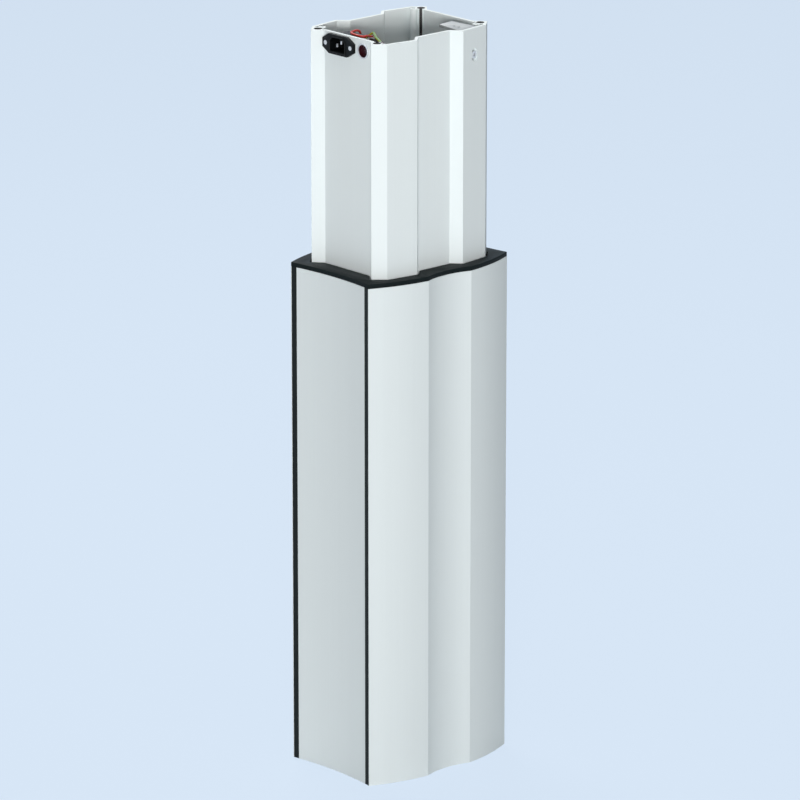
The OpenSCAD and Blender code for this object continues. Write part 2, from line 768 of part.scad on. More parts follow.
module gear_cover() {
  color("gray") translate([0, 0, cover_z]) difference() {
    union() {
      linear_extrude(cover_t) case_area();
      for (p = drive_ears) translate(p) cylinder(r = ear_r, h = cover_t);
      for (p = drive_ears) ear_web(p, cover_t);
    }
    translate([spindle_x, 0, -overrun]) cylinder(r = nut_r + bush_t, h = cover_t + 2 * overrun);
    translate([motor_x, 0, -overrun]) cylinder(r = spigot_r + seat_gap, h = cover_t + 2 * overrun);
    ear_holes(cover_t);
  }
}

module drive_screws() {
  color("dimgray") for (i = [0:3]) {
    lift = i < 2 ? motor_flange_t : 0;
    translate([drive_ears[i].x, drive_ears[i].y, motor_z + lift])
      cap_screw(drive_screw_r, case_h + cover_t + lift + carrier_t / 2);
  }
}

module motor() {
  color("dimgray") translate([motor_x, 0, motor_z]) difference() {
    union() {
      translate([0, 0, -cover_t / 2]) cylinder(r = spigot_r, h = cover_t);
      cylinder(r = motor_r, h = motor_len);
      translate([0, 0, motor_len]) cylinder(r = spigot_r, h = motor_boss_h);
      for (s = [-1, 1]) {
        translate([0, s * (motor_lobe_r + ear_out), 0]) cylinder(r = ear_r, h = motor_flange_t);
        translate([-ear_r, s > 0 ? 0 : -motor_lobe_r - ear_out, 0])
          cube([2 * ear_r, motor_lobe_r + ear_out, motor_flange_t]);
      }
    }
    translate([0, 0, -cover_t]) cylinder(r = pinion_shaft_r + run_gap, h = cover_t + shaft_depth);
    for (s = [-1, 1]) translate([0, s * (motor_lobe_r + ear_out), -overrun])
      cylinder(r = drive_screw_r + run_gap, h = motor_flange_t + 2 * overrun);
    for (s = [-1, 1]) translate([0, s * (motor_r - vent_in), motor_len * vent_share])
      cube(vent_size, center = true);
  }
}

module bush(z, up) {
  color("ivory") translate([spindle_x, 0, z]) mirror([0, 0, up ? 0 : 1]) difference() {
    union() {
      cylinder(r = nut_r + bush_t - seat_gap, h = case_floor + bush_over);
      translate([0, 0, -bush_flange_t]) cylinder(r = bush_flange_r, h = bush_flange_t);
    }
    translate([0, 0, -bush_flange_t - overrun])
      cylinder(r = nut_r + run_gap, h = case_floor + bush_over + bush_flange_t + 2 * overrun);
  }
}

module drive_nut() {
  color("goldenrod") translate([spindle_x, 0, nut_z]) difference() {
    cylinder(r = nut_r, h = nut_h);
    translate([0, 0, -overrun]) cylinder(r = spindle_r + run_gap, h = nut_h + 2 * overrun);
  }
}
module nut_gear() {
  color("ivory") translate([spindle_x, 0, gear_z]) linear_extrude(gear_w) difference() {
    polygon(gear_outline(gear_teeth));
    circle(nut_r + run_gap);
  }
}
module motor_pinion() {
  color("silver") translate([motor_x, 0, 0]) {
    translate([0, 0, gear_z - pinion_over]) linear_extrude(gear_w + 2 * pinion_over)
      rotate(full_turn / 2 / pinion_teeth)
      polygon(gear_outline(pinion_teeth));
    translate([0, 0, case_z + case_floor / 2 + glide_gap])
      cylinder(r = pinion_shaft_r, h = motor_z + shaft_depth - shaft_end_gap - case_z - case_floor / 2);
  }
}

module control_case() {
  color("dimgray") difference() {
    translate([wall_x - control_d, -control_w / 2, control_z])
      cube([control_d, control_w, control_h]);
    difference() {
      translate([wall_x - control_d - overrun, -control_w / 2 + control_t, control_z + control_t])
        cube([control_d - control_t + overrun, control_w - 2 * control_t, control_h - 2 * control_t]);
      for (p = control_spots) translate([0, p.x, p.y]) rotate([0, 90, 0])
        translate([0, 0, wall_x - control_d / 2]) cylinder(r = control_boss_r, h = control_d);
    }
    for (p = control_spots) translate([0, p.x, p.y]) rotate([0, 90, 0])
      translate([0, 0, wall_x - control_d / 3]) cylinder(r = control_screw_r + run_gap, h = control_d);
  }
}
module control_lid() {
  color("gray") translate([wall_x - control_d - control_t, -control_w / 2, control_z]) {
    cube([control_t, control_w, control_h]);
    translate([control_t, control_t + seat_gap, control_t + seat_gap]) difference() {
      cube([control_t, control_w - 2 * (control_t + seat_gap), control_h - 2 * (control_t + seat_gap)]);
      translate([-overrun, control_t, control_t])
        cube([control_t + 2 * overrun, control_w - 4 * control_t, control_h - 4 * control_t]);
    }
  }
}
module circuit_board() {
  board_x = wall_x - control_d / 2 - control_t;
  part = [control_d, control_w, control_h];
  size = [for (i = [0:2]) part[i] * board_part_shares[i]];
  color("darkgreen") {
    translate([board_x, -control_w / 2 + 2 * control_t, control_z + 2 * control_t])
      cube([control_t, control_w - 4 * control_t, control_h - 4 * control_t]);
    translate([board_x - size.x, -size.y / 2, control_z + board_part_low_share * control_h]) cube(size);
    translate([board_x, 0, control_z + board_coil_shares.y * control_h]) rotate([0, -90, 0])
      cylinder(r = board_coil_shares.x * control_w, h = size.x);
  }
}
module control_screws() {
  color("silver") for (p = control_spots) translate([panel_x - seat_gap, p.x, p.y])
    rotate([0, 90, 0]) flat_screw(control_screw_r, inner_wall + control_d / 4);
}

// Inlet outline: a block with a pointed ear at each end
module inlet_flange() {
  a = inlet_body_w / 2 + inlet_step;
  b = inlet_h / 2;
  c = inlet_ear_half;
  e = inlet_len / 2;
  polygon([[-e, -c], [-a, -b], [a, -b], [e, -c], [e, c], [a, b], [-a, b], [-e, c]]);
}
module inlet_mouth(w, h) {
  polygon([[-w / 2, -h / 2], [w / 2, -h / 2], [w / 2, h / 2 - mouth_corner],
    [w / 2 - mouth_corner, h / 2], [-w / 2 + mouth_corner, h / 2], [-w / 2, h / 2 - mouth_corner]]);
}
// Puts a shape drawn in Y and Z on the left narrow panel, with its own Z outwards
module on_left_panel(y, z) {
  translate([-panel_x, y, z]) rotate([90, 0, -90]) children();
}
module mains_inlet() {
  color("dimgray") on_left_panel(inlet_y, inlet_z) difference() {
    union() {
      linear_extrude(inlet_flange_t) inlet_flange();
      translate([0, 0, -inlet_deep]) linear_extrude(inlet_deep + overrun)
        square([inlet_body_w, inlet_body_h], center = true);
    }
    translate([0, 0, inlet_flange_t - mouth_deep]) linear_extrude(mouth_deep + overrun)
      inlet_mouth(mouth_w, mouth_h);
    for (k = [-1, 1]) translate([k * inlet_pitch / 2, 0, -overrun]) {
      translate([0, 0, overrun + inlet_flange_t - run_gap])
        flat_hole(ear_screw_r, inlet_flange_t + overrun);
    }
    for (p = pin_places) translate([p.x, p.y, -inlet_deep - overrun])
      linear_extrude(inlet_deep + overrun) square(pin_size + 2 * run_gap * [1, 1], center = true);
  }
}
module inlet_pins() {
  color("silver") on_left_panel(inlet_y, inlet_z) for (p = pin_places)
    translate([p.x, p.y, -inlet_deep - pin_out + overrun])
      linear_extrude(inlet_deep + inlet_flange_t + pin_out - overrun - pin_sunk)
        square(pin_size, center = true);
}
module inlet_screws() {
  color("silver") for (k = [-1, 1]) on_left_panel(inlet_y + k * inlet_pitch / 2, inlet_z)
    translate([0, 0, inlet_flange_t - run_gap]) flat_screw(ear_screw_r, inlet_flange_t + ear_screw_over);
}

module handset_socket() {
  color("maroon") on_left_panel(socket_y, socket_z) difference() {
    translate([0, 0, -socket_deep]) cylinder(r = socket_body_r, h = socket_deep + socket_ring_t / 2);
    translate([0, 0, socket_ring_t / 2 - socket_recess])
      cylinder(r = socket_mouth_r, h = socket_recess + overrun);
    for (i = [0:6]) rotate(contact_turn * (i - 3)) translate([contact_circle, 0, -socket_recess - contact_deep])
      cylinder(r = contact_r, h = contact_deep + overrun, $fn = 16);
  }
}
module socket_ring() {
  color("silver") on_left_panel(socket_y, socket_z) difference() {
    union() {
      cylinder(r = socket_ring_r, h = socket_ring_t);
      translate([0, 0, socket_sleeve_back - socket_deep])
        cylinder(r = socket_r, h = socket_deep - socket_sleeve_back);
    }
    translate([0, 0, -socket_deep]) cylinder(r = socket_body_r + run_gap, h = socket_deep + 2 * socket_ring_t);
  }
}
module socket_nut() {
  color("silver") on_left_panel(socket_y, socket_z) translate([0, 0, -inner_wall - socket_nut_t])
    difference() {
      cylinder(r = socket_r + socket_nut_over, h = socket_nut_t, $fn = 6);
      translate([0, 0, -overrun]) cylinder(r = socket_r + run_gap, h = socket_nut_t + 2 * overrun);
    }
}

// Angle bracket in the front right corner: its top lies level with the profile's end
module corner_bracket() {
  color("lightgray") difference() {
    union() {
      translate([0, 0, top_z - bracket_t]) linear_extrude(bracket_t)
        intersection() {
          polygon(inset(inner_outline, inner_wall + seat_gap));
          polygon([[bracket_x + bracket_lean, bracket_y], [bracket_x, -inner_ridge_d / 2],
            [bracket_x + bracket_w + bracket_lean / 2, -inner_ridge_d / 2],
            [bracket_x + bracket_w, bracket_y + bracket_slant]]);
        }
      translate([0, 0, top_z - bracket_drop]) linear_extrude(bracket_drop) intersection() {
        difference() {
          polygon(inset(inner_outline, inner_wall + seat_gap));
          polygon(inset(inner_outline, inner_wall + seat_gap + bracket_t));
        }
        translate([bracket_x + flange_in, -inner_ridge_d / 2]) square([flange_w, bracket_end]);
      }
    }
    bracket_screw_place() translate([0, 0, -bracket_sunk - bracket_screw_len - overrun])
      cylinder(r = bracket_screw_r + run_gap, h = bracket_screw_len + overrun);
    for (k = [0, 1]) translate(bracket_hole + k * bracket_hole_step)
      translate([0, 0, top_z - bracket_t - overrun]) cylinder(r = bracket_hole_r, h = bracket_t + 2 * overrun);
  }
}
module bracket_screw() {
  color("silver") bracket_screw_place() translate([0, 0, -bracket_sunk]) difference() {
    union() {
      cylinder(r = bracket_head_r, h = bracket_head_t);
      translate([0, 0, -bracket_screw_len]) cylinder(r = bracket_screw_r, h = bracket_screw_len);
    }
    translate([0, 0, -bracket_head_t / 2])
      cylinder(r = bracket_screw_r * flat_socket_share, h = 2 * bracket_head_t, $fn = 6);
  }
}

module earth_screw() {
  color("silver") translate(lug_place + [0, 0, lug_t])
    difference() {
      union() {
        translate([0, 0, -earth_screw_len])
          cylinder(r = small_channel_r - run_gap, h = earth_screw_len);
        cylinder(r = lug_r - earth_head_in, h = earth_head_h);
      }
      translate([0, 0, earth_head_h]) cube([2 * lug_r, earth_slot_w, earth_head_h], center = true);
    }
}
module earth_lug() {
  color("silver") translate(lug_place) {
    difference() {
      union() {
        cylinder(r = lug_r, h = lug_t);
        rotate(lug_turn) translate([0, -lug_r / 2, 0]) cube([lug_reach, lug_r, lug_t]);
      }
      translate([0, 0, -overrun]) cylinder(r = small_channel_r + run_gap, h = lug_t + 2 * overrun);
    }
    rotate([0, 0, lug_turn]) translate([lug_reach - lug_t, 0, mains_r]) rotate([0, 90, 0])
      cylinder(r = mains_r, h = lug_reach / 2);
  }
}

module line_lead() {
  color("red") lead(line_route, mains_r);
}
module neutral_lead() {
  color("white") lead(neutral_route, mains_r);
}
module earth_lead() {
  color("yellowgreen") lead(earth_route, mains_r);
}
module handset_lead() {
  color("dimgray") lead(handset_route, handset_r);
}
module motor_lead() {
  color("dimgray") lead(motor_route, motor_lead_r);
}

outer_profile();
cover_strip(1, 1);  // cover_strip_front_left
cover_strip(0, 1);  // cover_strip_front_right
cover_strip(1, 0);  // cover_strip_back_left
cover_strip(0, 0);  // cover_strip_back_right
top_cap();
color("ivory") mirror([0, 1, 0]) upper_glide(front_pad_w, 0);  // upper_glide_front
color("ivory") upper_glide(front_pad_w, 0);  // upper_glide_back
color("ivory") mirror([1, 0, 0]) upper_glide(side_pad_w, 1);  // upper_glide_left
color("ivory") upper_glide(side_pad_w, 1);  // upper_glide_right
base_plate();
base_screws();
spindle();
spindle_screw();
spindle_pin();
stop_washer();
stop_screw();
inner_profile();
mirror([0, 1, 0]) lower_glide(front_pad_w, 0);  // lower_glide_front
lower_glide(front_pad_w, 0);  // lower_glide_back
mirror([1, 0, 0]) lower_glide(side_pad_w, 1);  // lower_glide_left
lower_glide(side_pad_w, 1);  // lower_glide_right
carrier_plate();
carrier_screws();
gear_case();
gear_cover();
drive_screws();
motor();
bush(case_z + case_floor + bush_flange_t, false);  // lower_bush
bush(cover_z, true);  // upper_bush
control_case();
control_lid();
circuit_board();
control_screws();
mains_inlet();
inlet_pins();
inlet_screws();
handset_socket();
socket_ring();
socket_nut();
corner_bracket();
bracket_screw();
earth_lug();
earth_screw();
line_lead();
neutral_lead();
earth_lead();
handset_lead();
motor_lead();
drive_nut();
nut_gear();
motor_pinion();
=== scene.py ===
"""Finishes for the lifting column: anodised profiles, moulded cap and strips, and the fittings and
leads in its open top end. Lengths are in metres."""
import json
import math

import bmesh
import bpy
import numpy as np
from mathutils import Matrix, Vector


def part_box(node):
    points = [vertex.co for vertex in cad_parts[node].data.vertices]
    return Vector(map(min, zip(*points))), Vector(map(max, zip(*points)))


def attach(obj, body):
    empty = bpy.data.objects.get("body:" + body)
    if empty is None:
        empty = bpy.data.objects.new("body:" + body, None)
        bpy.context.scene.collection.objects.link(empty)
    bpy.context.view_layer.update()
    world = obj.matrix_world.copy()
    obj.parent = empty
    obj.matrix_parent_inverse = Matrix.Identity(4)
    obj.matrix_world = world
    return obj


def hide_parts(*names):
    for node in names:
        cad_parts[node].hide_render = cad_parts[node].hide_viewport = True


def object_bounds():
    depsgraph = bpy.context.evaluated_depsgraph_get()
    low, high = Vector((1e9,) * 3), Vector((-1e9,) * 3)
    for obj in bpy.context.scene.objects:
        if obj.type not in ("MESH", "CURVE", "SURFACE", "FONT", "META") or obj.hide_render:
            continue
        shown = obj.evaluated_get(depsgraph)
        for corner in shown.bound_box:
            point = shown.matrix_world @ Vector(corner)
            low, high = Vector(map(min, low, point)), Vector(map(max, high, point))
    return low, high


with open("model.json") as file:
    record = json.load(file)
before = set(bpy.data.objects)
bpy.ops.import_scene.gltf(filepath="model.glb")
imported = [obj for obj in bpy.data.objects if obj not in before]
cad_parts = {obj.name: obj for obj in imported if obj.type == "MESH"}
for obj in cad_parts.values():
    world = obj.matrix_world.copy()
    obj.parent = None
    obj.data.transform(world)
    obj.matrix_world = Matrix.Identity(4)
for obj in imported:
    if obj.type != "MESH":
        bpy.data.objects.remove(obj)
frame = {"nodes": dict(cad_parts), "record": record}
cad_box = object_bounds()
nodes = frame["nodes"]
record = frame["record"]

MM = 0.001
mounts = {m["name"]: Vector(m["pos_m"]) for m in record["mounts"]}
channels = next(m["dims"] for m in record["mounts"] if m["name"] == "top_channels")
slot_of = {s["node"]: s["material_slot"] for s in record["subparts"]}
body_of = {n: body for body, names in record["behaviour"]["bodies"].items() for n in names}
inner_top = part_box("inner_profile")[1].z
outer_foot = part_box("outer_profile")[0].z
channel_r = 4.4 * MM
screw_channel = [channels["spacing_x_mm"] / 2 * MM, channels["spacing_y_mm"] / 2 * MM, channel_r]


class Value:
    """A socket in a node tree; arithmetic on it adds the Math nodes that work it out."""

    def __init__(self, nodes, socket):
        self.nodes, self.socket = nodes, socket

    def math(self, operation, *others):
        """The operation on this value and the others, in that order."""
        terms = dict(enumerate((self, *others)))
        return self.nodes.node("ShaderNodeMath", {"operation": operation}, terms)

    def __add__(self, other):
        return self.math("ADD", other)

    __radd__ = __add__

    def __mul__(self, other):
        return self.math("MULTIPLY", other)

    __rmul__ = __mul__

    def __sub__(self, other):
        return self.math("SUBTRACT", other)

    def __rsub__(self, other):
        return self.nodes.node("ShaderNodeMath", {"operation": "SUBTRACT"}, {0: other, 1: self})

    def __pow__(self, other):
        return self.math("POWER", other)

    def axis(self, index):
        """One of a vector's three parts."""
        return self.nodes.node("ShaderNodeSeparateXYZ", {}, {0: self}, index)

    def above(self, edge, blur):
        """0 below edge, 1 above it, over a stretch of blur."""
        low, high = edge - blur / 2, edge + blur / 2
        return self.nodes.node("ShaderNodeMapRange", {}, {0: self, 1: low, 2: high})


class Nodes:
    """A node tree, to which one method adds every node."""

    def __init__(self, tree):
        self.tree = tree

    def node(self, kind, settings, sockets, output=0):
        """Adds a node: its settings first, then the values or links of its sockets."""
        made = self.tree.nodes.new(kind)
        for key, value in settings.items():
            setattr(made, key, value)
        for key, value in sockets.items():
            self.feed(made.inputs[key], value)
        return Value(self, made.outputs[output])

    def feed(self, socket, value):
        if isinstance(value, Value):
            self.tree.links.new(value.socket, socket)
        else:
            socket.default_value = value


class Finish(Nodes):
    """A material around one Principled shader. Constants are set on the shader's own sockets."""

    def __init__(self, name, constants):
        self.material = bpy.data.materials.new(name)
        self.material.use_nodes = True
        super().__init__(self.material.node_tree)
        self.shader = self.tree.nodes["Principled BSDF"]
        for socket, value in constants.items():
            self.shader.inputs[socket].default_value = value
        self.place = self.node("ShaderNodeTexCoord", {}, {}, "Object")

    def wire(self, sockets):
        for key, value in sockets.items():
            self.feed(self.shader.inputs[key], value)
        return self.material

    def grain(self, scale, stretch=(1, 1, 1), detail=2, roughness=0.5):
        """Noise from 0 to 1 with scale lumps a metre, drawn out along an axis by a small stretch."""
        spot = self.node("ShaderNodeMapping", {}, {"Vector": self.place, "Scale": stretch})
        return self.node("ShaderNodeTexNoise", {},
                         {"Vector": spot, "Scale": scale, "Detail": detail, "Roughness": roughness})

    def tone(self, share, low, high):
        """A colour between low and high."""
        return self.node("ShaderNodeMix", {"data_type": "RGBA"}, {0: share, 6: low, 7: high}, 2)

    def bumps(self, height, depth):
        """A normal from a height of 0 to 1 over depth metres."""
        return self.node("ShaderNodeBump", {}, {"Height": height, "Distance": depth, "Strength": 1.0})


def grey(level, tint=(1, 1, 1)):
    return tuple(level * t for t in tint) + (1,)


def shaded(colour, share):
    return tuple(share * c for c in colour[:3]) + (1,)


COOL = (0.93, 1.0, 1.01)
ALONG_Z = (1, 1, 0.004)


def anodised(name, level, rough, bore=None):
    """Extruded and matt anodised: faint die lines along the profile and a fine etched grain. The
    sawn ends, which face up or down, are bare, paler and scratched across. Inside the slotted bores,
    at bore = (x, y, radius) from the middle in each corner, shade is painted on as a dark grey."""
    metal, bare_metal, past_bore, blur = 0.06, 0.1, 0.3 * MM, 0.2 * MM
    f = Finish(name, {"Specular IOR Level": 0.15})
    lines = f.grain(900, ALONG_Z, detail=3)
    bands = f.grain(60, ALONG_Z, detail=1)
    etch = f.grain(5200, detail=1)
    share = lines * 0.5 + bands * 0.3 + etch * 0.2
    normal = f.node("ShaderNodeNewGeometry", {}, {}, "True Normal")
    sawn = normal.axis(2).math("ABSOLUTE").above(0.8, 0.1)
    scratches = f.grain(1600, (0.05, 1, 1))
    skin = f.tone(share, grey(level * 0.93, COOL), grey(level, COOL))
    bare = f.tone(scratches, grey(0.86, COOL), grey(0.97, COOL))
    if bore:
        # Painted shade: a dark grey inside the slotted bores, where the light does not reach.
        x, y, radius = bore
        across, along = f.place.axis(0).math("ABSOLUTE") - x, f.place.axis(1).math("ABSOLUTE") - y
        outside_painted_shade = ((across * across + along * along) ** 0.5).above(radius + past_bore, blur)
        skin = f.tone(outside_painted_shade, grey(0.09), skin)
    return f.wire({"Base Color": f.tone(sawn, skin, bare),
                   "Metallic": metal - sawn * (metal - bare_metal),
                   "Roughness": rough - 0.05 + share * 0.1,
                   "Normal": f.bumps(lines * 0.8 + etch * 0.2, 0.012 * MM)})


def milled(name, level, rough):
    """Sawn and turned plate: short scratches across each other."""
    f = Finish(name, {"Metallic": 1.0})
    scratches = f.grain(1400, (1, 0.03, 1)) * 0.5 + f.grain(1400, (0.03, 1, 1)) * 0.5
    return f.wire({"Base Color": f.tone(scratches, grey(level * 0.88), grey(level)),
                   "Roughness": rough + scratches * 0.15,
                   "Normal": f.bumps(scratches, 0.01 * MM)})


def moulded(name, colour, rough, specular=0.5):
    """Moulded plastic with a spark-eroded grain and a little patchy sheen."""
    f = Finish(name, {"Specular IOR Level": specular})
    grain, sheen = f.grain(3200), f.grain(45)
    return f.wire({"Base Color": f.tone(grain, shaded(colour, 0.86), colour),
                   "Roughness": rough - 0.06 + sheen * 0.12,
                   "Normal": f.bumps(grain, 0.02 * MM)})


def extruded_plastic(name, colour, rough):
    """Extruded strip: fine lines along its length."""
    f = Finish(name, {"Specular IOR Level": 0.15})
    lines = f.grain(1500, ALONG_Z)
    return f.wire({"Base Color": f.tone(lines, shaded(colour, 0.8), colour),
                   "Roughness": rough - 0.05 + lines * 0.1,
                   "Normal": f.bumps(lines, 0.01 * MM)})


def plated(name, colour, rough, metal=1.0):
    """Bright plated steel with turning marks and a faint cloud."""
    f = Finish(name, {"Metallic": metal})
    cloud = f.grain(260, detail=3)
    marks = f.grain(4200, (0.2, 0.2, 1), detail=1)
    return f.wire({"Base Color": f.tone(cloud, shaded(colour, 0.82), colour),
                   "Roughness": rough + cloud * 0.12,
                   "Normal": f.bumps(marks, 0.006 * MM)})


def contact(name, tips):
    """Nickel-plated pins, bright at the tips, which lie at x = tips, with painted shade further in."""
    f = Finish(name, {"Metallic": 0.9, "Roughness": 0.3})
    # Painted shade: dark grey from 1.6 mm behind the tips inward, where the inlet's recess shades the
    # pins.
    painted_pin_shade = (f.place.axis(0) - tips).above(1.6 * MM, 0.6 * MM)
    return f.wire({"Base Color": f.tone(painted_pin_shade, grey(0.85), grey(0.05)),
                   "Normal": f.bumps(f.grain(2600), 0.006 * MM)})


def cast(name, colour, rough):
    """Die-cast zinc or aluminium with a grainy skin."""
    f = Finish(name, {"Metallic": 0.85})
    grit = f.grain(1300, detail=4, roughness=0.65)
    return f.wire({"Base Color": f.tone(grit, shaded(colour, 0.75), colour),
                   "Roughness": rough + grit * 0.15,
                   "Normal": f.bumps(grit, 0.06 * MM)})


def painted(name, colour, rough):
    """Baked paint with orange peel."""
    f = Finish(name, {"Coat Weight": 0.3, "Coat Roughness": 0.2})
    peel = f.grain(700, detail=1)
    return f.wire({"Base Color": f.tone(peel, shaded(colour, 0.85), colour),
                   "Roughness": rough + peel * 0.08,
                   "Normal": f.bumps(peel, 0.03 * MM)})


def circuit(name):
    """Solder-masked board: green with lighter tracks in a square layout."""
    f = Finish(name, {"Coat Weight": 0.4, "Coat Roughness": 0.15})
    tracks = f.node("ShaderNodeTexVoronoi", {"distance": "CHEBYCHEV", "feature": "F1"},
                    {"Vector": f.place, "Scale": 260}).above(0.55, 0.05)
    return f.wire({"Base Color": f.tone(tracks, (0.012, 0.1, 0.035, 1), (0.03, 0.2, 0.07, 1)),
                   "Roughness": 0.35 + tracks * 0.1})


def sleeve(name, colour):
    """Soft PVC insulation, a little waxy."""
    f = Finish(name, {})
    wax = f.grain(420)
    return f.wire({"Base Color": f.tone(wax, shaded(colour, 0.8), colour),
                   "Roughness": 0.38 + wax * 0.12,
                   "Normal": f.bumps(wax, 0.02 * MM)})


def earth_sleeve(name):
    """Yellow insulation with a green stripe on each side of the lead, read from the lead's own UVs."""
    f = Finish(name, {})
    around = f.node("ShaderNodeUVMap", {"uv_map": "around"}, {})
    twice_round = around.axis(0) * (4 * math.pi)
    stripe = twice_round.math("COSINE").above(0.1, 0.15)
    return f.wire({"Base Color": f.tone(stripe, (0.72, 0.68, 0.03, 1), (0.05, 0.22, 0.04, 1)),
                   "Roughness": 0.38 + f.grain(420) * 0.1})


finishes = {
    "outer_aluminium": anodised("outer_aluminium", 0.85, 0.60),
    "inner_aluminium": anodised("inner_aluminium", 0.89, 0.60, bore=screw_channel),
    "plate_aluminium": milled("plate_aluminium", 0.68, 0.30),
    "strip_plastic": extruded_plastic("strip_plastic", (0.010, 0.013, 0.013, 1), 0.6),
    "cap_plastic": moulded("cap_plastic", (0.008, 0.0125, 0.013, 1), 0.5, specular=0.07),
    "glide_plastic": moulded("glide_plastic", (0.72, 0.70, 0.64, 1), 0.42),
    "screw_steel": plated("screw_steel", (0.10, 0.10, 0.105, 1), 0.32),
    "bright_steel": plated("bright_steel", (0.80, 0.80, 0.80, 1), 0.30, 0.8),
    "spindle_steel": plated("spindle_steel", (0.50, 0.51, 0.52, 1), 0.25),
    "cast_housing": cast("cast_housing", (0.42, 0.43, 0.44, 1), 0.45),
    "motor_paint": painted("motor_paint", (0.03, 0.032, 0.035, 1), 0.40),
    "black_plastic": moulded("black_plastic", (0.0012, 0.0016, 0.0016, 1), 0.5, specular=0.2),
    "board_green": circuit("board_green"),
    "maroon_plastic": moulded("maroon_plastic", (0.03, 0.002, 0.005, 1), 0.28),
    "bracket_zinc": plated("bracket_zinc", (0.42, 0.44, 0.44, 1), 0.46, 0.3),
    "red_sleeve": sleeve("red_sleeve", (0.62, 0.035, 0.018, 1)),
    "white_sleeve": sleeve("white_sleeve", (0.75, 0.75, 0.72, 1)),
    "earth_sleeve": earth_sleeve("earth_sleeve"),
    "black_sleeve": sleeve("black_sleeve", (0.022, 0.014, 0.012, 1)),
    "bronze": plated("bronze", (0.60, 0.36, 0.14, 1), 0.35),
    "gear_plastic": moulded("gear_plastic", (0.76, 0.74, 0.68, 1), 0.36),
    "inlet_pins": contact("inlet_pins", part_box("inlet_pins")[0].x),
}


def dress(piece, slot):
    piece.data.materials.clear()
    piece.data.materials.append(finishes[slot])


for name, node in nodes.items():
    dress(node, slot_of[name])


def stand_in(piece, node):
    """The piece takes the place, the body and the finish of a CAD piece. A finish with the CAD
    piece's own name goes before that of its slot."""
    dress(piece, node if node in finishes else slot_of[node])
    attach(piece, body_of[node])
    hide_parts(node)
    return piece


def add_piece(name, mesh):
    piece = bpy.data.objects.new(name, mesh)
    bpy.context.scene.collection.objects.link(piece)
    return piece


def edged(node, width):
    """A copy of a CAD piece whose sharp edges are rounded over width. Its doubled points are merged
    and its flat triangles joined first."""
    same_place, flat, sharp = 1e-7, math.radians(0.4), math.radians(35)
    bm = bmesh.new()
    bm.from_mesh(nodes[node].data)
    bmesh.ops.remove_doubles(bm, verts=bm.verts, dist=same_place)
    bmesh.ops.dissolve_limit(bm, angle_limit=flat, verts=bm.verts, edges=bm.edges)
    for face in bm.faces:
        face.smooth = True
    mesh = bpy.data.meshes.new(node + "_edged")
    bm.to_mesh(mesh)
    bm.free()
    piece = add_piece(node + "_edged", mesh)
    bevel = piece.modifiers.new("edge", "BEVEL")
    bevel.width, bevel.segments = width, 2
    bevel.limit_method, bevel.angle_limit = "ANGLE", sharp
    bevel.harden_normals = True
    return stand_in(piece, node)


def smooth_path(points, steps=10):
    """Cubic stretches through the points. The slope at a point is half the step between its
    neighbours."""
    p = np.array(points, float)
    before, after = np.vstack([p[:1], p[:-2]]), np.vstack([p[2:], p[-1:]])
    t = np.linspace(0, 1, steps, endpoint=False)[None, :, None]
    a, b, c, d = before[:, None], p[:-1, None], p[1:, None], after[:, None]
    stretches = (2 * b + (c - a) * t + (2 * a - 5 * b + 4 * c - d) * t ** 2
                 + (3 * b - a - 3 * c + d) * t ** 3) / 2
    return np.vstack([stretches.reshape(-1, 3), p[-1:]])


def unit(v):
    return v / np.linalg.norm(v, axis=-1, keepdims=True)


def grid_mesh(name, grid):
    """A closed tube from a grid of rings, each a loop of points, with a fan at both ends. Its UV map
    gives the share of the way around and along it."""
    rings, sides, _ = grid.shape
    points = np.vstack([grid.reshape(-1, 3), grid[0].mean(0), grid[-1].mean(0)])
    i, j = np.meshgrid(np.arange(rings - 1), np.arange(sides), indexing="ij")
    here, along = i * sides + j, i * sides + (j + 1) % sides
    skin = np.stack([here, along, along + sides, here + sides], -1).reshape(-1, 4)
    k = np.arange(sides)
    first = np.stack([np.full(sides, rings * sides), (k + 1) % sides, k], -1)
    base = (rings - 1) * sides
    final = np.stack([np.full(sides, rings * sides + 1), base + k, base + (k + 1) % sides], -1)
    mesh = bpy.data.meshes.new(name)
    mesh.from_pydata(points.tolist(), [], skin.tolist() + first.tolist() + final.tolist())
    layer = mesh.uv_layers.new(name="around")
    turn = np.stack([j, j + 1, j + 1, j], -1).reshape(-1) / sides
    level = np.stack([i, i, i + 1, i + 1], -1).reshape(-1) / (rings - 1)
    ends = np.zeros(6 * sides)
    uv = np.stack([np.concatenate([turn, ends]), np.concatenate([level, ends])], -1)
    layer.data.foreach_set("uv", uv.astype(np.float32).ravel())
    mesh.polygons.foreach_set("use_smooth", np.ones(len(mesh.polygons), bool))
    mesh.update()
    return mesh


def swept(name, path, radii, sides=20):
    """A round section of the given radii carried along a path: each ring's side vector is the last
    one with its part along the path taken out, and a ring is path + r (cos side + sin normal)."""
    ahead = unit(np.gradient(path, axis=0))
    across = np.empty_like(ahead)
    side = np.array([0.3, 0.5, 0.8])
    for ring, direction in enumerate(ahead):
        side = unit(side - direction * (side @ direction))
        across[ring] = side
    other = np.cross(ahead, across)
    angle = np.linspace(0, 2 * math.pi, sides, endpoint=False)[None, :, None]
    section = np.cos(angle) * across[:, None] + np.sin(angle) * other[:, None]
    radii = np.broadcast_to(radii, len(path))[:, None, None]
    return grid_mesh(name, path[:, None] + radii * section)


